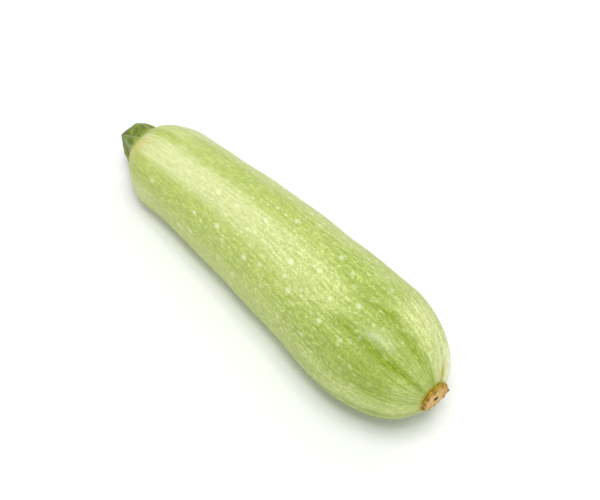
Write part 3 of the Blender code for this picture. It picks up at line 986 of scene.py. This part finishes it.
def stem_radius(share, angle):
    """Radius of the stem's side, from its foot at share 0 to its cut at share 1."""
    narrowing = STEM_FOOT_RADIUS + (STEM_CUT_RADIUS - STEM_FOOT_RADIUS) * share
    straight_waist = 0.5 * (STEM_FOOT_RADIUS + STEM_CUT_RADIUS)
    radius = narrowing + (STEM_WAIST_RADIUS - straight_waist) * np.sin(math.pi * share)
    for middle, foot_height, cut_height in STEM_RIDGES:
        height = (foot_height + (cut_height - foot_height) * share) * MM
        radius += height * bump(degrees_from(angle, middle), STEM_RIDGE_REACH)
        fork = bump(degrees_from(angle, fork_middle(middle, share)), STEM_FORK_REACH)
        radius += STEM_FORK_HEIGHT * (1.0 - share) * fork
    return radius


def stem_edges(share, angle):
    """The narrow edges along the ridges and their forks, from 0 to 1."""
    edges = np.zeros_like(share)
    for middle, _, _ in STEM_RIDGES:
        edges = np.maximum(edges, bump(degrees_from(angle, middle), STEM_RIDGE_EDGE_REACH))
        fork = bump(degrees_from(angle, fork_middle(middle, share)), STEM_FORK_EDGE_REACH)
        edges = np.maximum(edges, fork * smoothstep(1.0, 0.8, share))
    return edges


def stem_cut_height(radius, angle):
    """Height above the stem's foot of the slanted cut's plane, less the rounding of its edge."""
    slant = radius * np.cos(angle - STEM_CUT_HIGH_SIDE) * math.tan(STEM_CUT_SLANT)
    return STEM_LENGTH + slant - STEM_CUT_ROUNDING


def shoulder_drop(radius, angle):
    """How far the shoulder's skin has fallen away from the stem's seat at a given radius."""
    full_radius = barrel_radius(0.0) + rib_relief(STEM_SEAT_PLACE, angle)
    share = np.clip(radius / full_radius, 0.0, 1.0)
    return np.maximum(0.0, distance_from_end(SHOULDER_LENGTH, share) - STEM_SEAT_PLACE)


def stem_side(angles):
    """Height, radius, cut, rise and crest of the stem's side, from the foot up."""
    share, angle = np.meshgrid(np.linspace(0.0, 1.0, STEM_SIDE_RINGS), angles, indexing="ij")
    uneven = Waves(31, 7.0 * MM)(share * STEM_LENGTH, angle, STEM_SIDE_RADIUS)
    fibres = np.cos(STEM_FIBRES * angle + 2.0 * uneven)
    edges = stem_edges(share, angle)
    radius = stem_radius(share, angle) + STEM_EDGE_HEIGHT * (edges - STEM_EDGE_MEAN)
    radius += STEM_FIBRE_HEIGHT * fibres + STEM_UNEVEN_HEIGHT * uneven
    foot_depth = shoulder_drop(radius, angle) + STEM_SINK + PIECE_GAP
    height = share * stem_cut_height(radius, angle) - (1.0 - share) ** 3 * foot_depth
    return np.stack([height, radius, np.zeros_like(radius), share, edges], -1)


def stem_face(angles, edge_radius, edge_crest):
    """The same of the dished cut face, from its edge inwards."""
    share, angle = np.meshgrid(np.array(STEM_FACE_RINGS), angles, indexing="ij")
    radius = share * edge_radius
    rough = STEM_CUT_ROUGHNESS * Waves(33, 2.4 * MM)(radius, angle, STEM_FACE_RADIUS)
    height = stem_cut_height(radius, angle) + STEM_CUT_ROUNDING * smoothstep(1.0, 0.955, share)
    height += rough * smoothstep(0.97, 0.85, share) - STEM_CUT_DISH * smoothstep(0.97, 0.55, share)
    everywhere = np.ones_like(share)
    cut = smoothstep(0.99, 0.94, share)
    return np.stack([height, radius, cut, everywhere, edge_crest * everywhere], -1)


def make_stem():
    angles = angles_round(STEM_AROUND)
    side = stem_side(angles)
    face = stem_face(angles, side[-1, :, 1], side[-1, :, 4])
    # The stem rises against the fruit's axis, so its rings run round the other way
    height, radius, cut, rise, crest = np.moveaxis(np.concatenate([side, face])[:, ::-1], -1, 0)
    across, up = radius * np.sin(angles[::-1]), radius * np.cos(angles[::-1])
    x = STEM_SEAT_PLACE - PIECE_GAP - height
    y = float(sideways_shift(STEM_SEAT_PLACE)) - across
    mesh = grid_mesh("zucchini_stem", np.stack([x, y, up], -1))
    store(mesh, "stem_place", np.stack([height, up, across], -1))
    store(mesh, "rise", rise)
    store(mesh, "cut", cut)
    store(mesh, "rim", bump(rise - 1.0, 0.09) * (1.0 - 0.6 * cut))
    store(mesh, "crest", crest * (1.0 - cut) * smoothstep(1.0, 0.85, rise))
    add_piece("zucchini_stem", mesh, stem_material(), "stem")


# The blossom scar


def scar_edge(angle):
    """The scar's ragged outline."""
    wave = sum(height * np.cos(count * angle + start) for count, height, start in SCAR_EDGE_WAVES)
    return SCAR_RADIUS + SCAR_RAGGEDNESS * wave


def beating(waves, angle):
    """Waves round the scar, multiplied, so that they swell and die away."""
    return math.prod(np.cos(count * angle + start) for count, start in waves)


def painted_pit_shade(share, angle):
    """The painted shade in the pit, from 0 to 1."""
    along = share * SCAR_RADIUS * np.cos(angle - SCAR_PIT_NARROW_SIDE) - SCAR_PIT_DARK_SHIFT
    across = share * SCAR_RADIUS * np.sin(angle - SCAR_PIT_NARROW_SIDE)
    return smoothstep(*SCAR_PIT_DARK_RADII, np.hypot(along / SCAR_PIT_NARROWNESS, across))


def scar_nubs(share, angle):
    """The dark nubs of the rim, from 0 to 1."""
    nubs = np.zeros_like(share)
    for middle, size in SCAR_NUBS:
        nubs = np.maximum(nubs, size * bump(degrees_from(angle, middle), SCAR_NUB_REACH))
    return nubs * bump(share - SCAR_NUB_PLACE, SCAR_NUB_DEPTH)


def make_scar():
    profile = np.array(SCAR_PROFILE)
    steps = np.linspace(0, len(profile) - 1, SCAR_RINGS)
    columns = [np.interp(steps, np.arange(len(profile)), column) for column in profile.T]
    share, angle = np.meshgrid(columns[0], angles_round(SCAR_AROUND), indexing="ij")
    spread = [np.repeat(column[:, None], SCAR_AROUND, axis=1) for column in columns[1:]]
    height, ragged, wall, rim = spread
    from_below = math.pi - angle
    foot = wall * smoothstep(0.55 * SCAR_RIM_HEIGHT, 0.15 * SCAR_RIM_HEIGHT, height)
    nubs = scar_nubs(share, angle)

    # Raggedness of the rim: broad bumps, small teeth, and the crumble of the cork
    plane = share * SCAR_RADIUS
    spots = np.stack([height, plane * np.cos(angle), plane * np.sin(angle)], -1)
    lumps, grit = Waves(41, 2.2 * MM).at(spots), Waves(42, 0.9 * MM).at(spots)
    bumps = beating(SCAR_BUMP_WAVES, from_below)
    teeth = beating(SCAR_TEETH_WAVES, angle)
    lean = plane * np.cos(from_below - SCAR_HIGH_SIDE) * math.tan(SCAR_SLANT)
    height += lean * np.clip(height / SCAR_RIM_HEIGHT, 0.0, 1.0)
    height += SCAR_RAGGEDNESS * ragged * (0.6 * bumps + 0.30 * teeth)
    height += (0.16 * lumps + 0.07 * grit) * MM * np.clip(ragged * 2.0, 0.0, 1.0)
    height += SCAR_NUB_HEIGHT * nubs
    edge = SCAR_RADIUS + share**3 * (scar_edge(from_below) - SCAR_RADIUS)
    crumble = (0.10 * lumps + 0.05 * grit + 0.15 * nubs) * MM
    radius = share * edge + crumble * smoothstep(0.5, 0.95, share)

    off_centre = smoothstep(0.75, 0.3, share)
    down_shift, side_shift = SCAR_PIT_SHIFT
    x = SCAR_SEAT_PLACE + PIECE_GAP + height
    y = float(sideways_shift(SCAR_SEAT_PLACE)) - radius * np.sin(angle) + off_centre * side_shift
    z = radius * np.cos(angle) - off_centre * down_shift
    mesh = grid_mesh("zucchini_blossom_scar", np.stack([x, y, z], -1))
    store(mesh, "scar_place", np.stack([height, y, z], -1))
    marks = {"wall": wall, "foot": foot, "rim": rim, "pit": painted_pit_shade(share, angle), "nub": nubs}
    for name, values in marks.items():
        store(mesh, name, values)
    add_piece("zucchini_blossom_scar", mesh, scar_material(), "blossom_scar")


# Floor, light and camera


def make_floor():
    size = FLOOR_HALF_SIZE
    mesh = bpy.data.meshes.new("floor")
    corners = [(-size, -size, 0.0), (size, -size, 0.0), (size, size, 0.0), (-size, size, 0.0)]
    mesh.from_pydata(corners, [], [(0, 1, 2, 3)])
    mesh.materials.append(floor_material())
    floor = bpy.data.objects.new("floor", mesh)
    floor.location = (0.0, 0.0, -FLOOR_DROP)
    bpy.context.scene.collection.objects.link(floor)


def add_softbox(name, position, target, width, height, power):
    light = bpy.data.lights.new(name, "AREA")
    light.shape = "RECTANGLE"
    light.size = width
    light.size_y = height
    light.energy = power
    lamp = bpy.data.objects.new(name, light)
    lamp.location = position
    lamp.rotation_euler = (Vector(target) - Vector(position)).to_track_quat("-Z", "Y").to_euler()
    bpy.context.scene.collection.objects.link(lamp)


def light_scene():
    world = bpy.data.worlds.new("studio")
    world.use_nodes = True
    background = world.node_tree.nodes["Background"]
    background.inputs["Color"].default_value = STUDIO_COLOUR
    background.inputs["Strength"].default_value = STUDIO_STRENGTH
    scene = bpy.context.scene
    scene.world = world
    scene.view_settings.view_transform = "Standard"
    scene.view_settings.look = "None"
    for softbox in SOFTBOXES:
        add_softbox(*softbox)


def make_camera():
    along = Vector((CAMERA_TARGET * math.cos(LEAN), 0.0, CAMERA_TARGET * math.sin(LEAN)))
    target = Vector(WHOLE_PLACE) + along
    towards_x, towards_y = math.sin(CAMERA_AZIMUTH), -math.cos(CAMERA_AZIMUTH)
    flat = math.cos(CAMERA_ELEVATION)
    back = Vector((towards_x * flat, towards_y * flat, math.sin(CAMERA_ELEVATION)))
    right = Vector((-towards_y, towards_x, 0.0))
    up = back.cross(right)
    data = bpy.data.cameras.new("camera")
    data.lens = CAMERA_LENS
    data.sensor_width = CAMERA_SENSOR
    camera = bpy.data.objects.new("camera", data)
    camera.location = target + back * CAMERA_DISTANCE + right * CAMERA_RIGHT + up * CAMERA_UP
    camera.rotation_euler = (-back).to_track_quat("-Z", "Y").to_euler()
    bpy.context.scene.collection.objects.link(camera)
    bpy.context.scene.camera = camera


make_fruit()
make_stem()
make_scar()
make_floor()
light_scene()
make_camera()
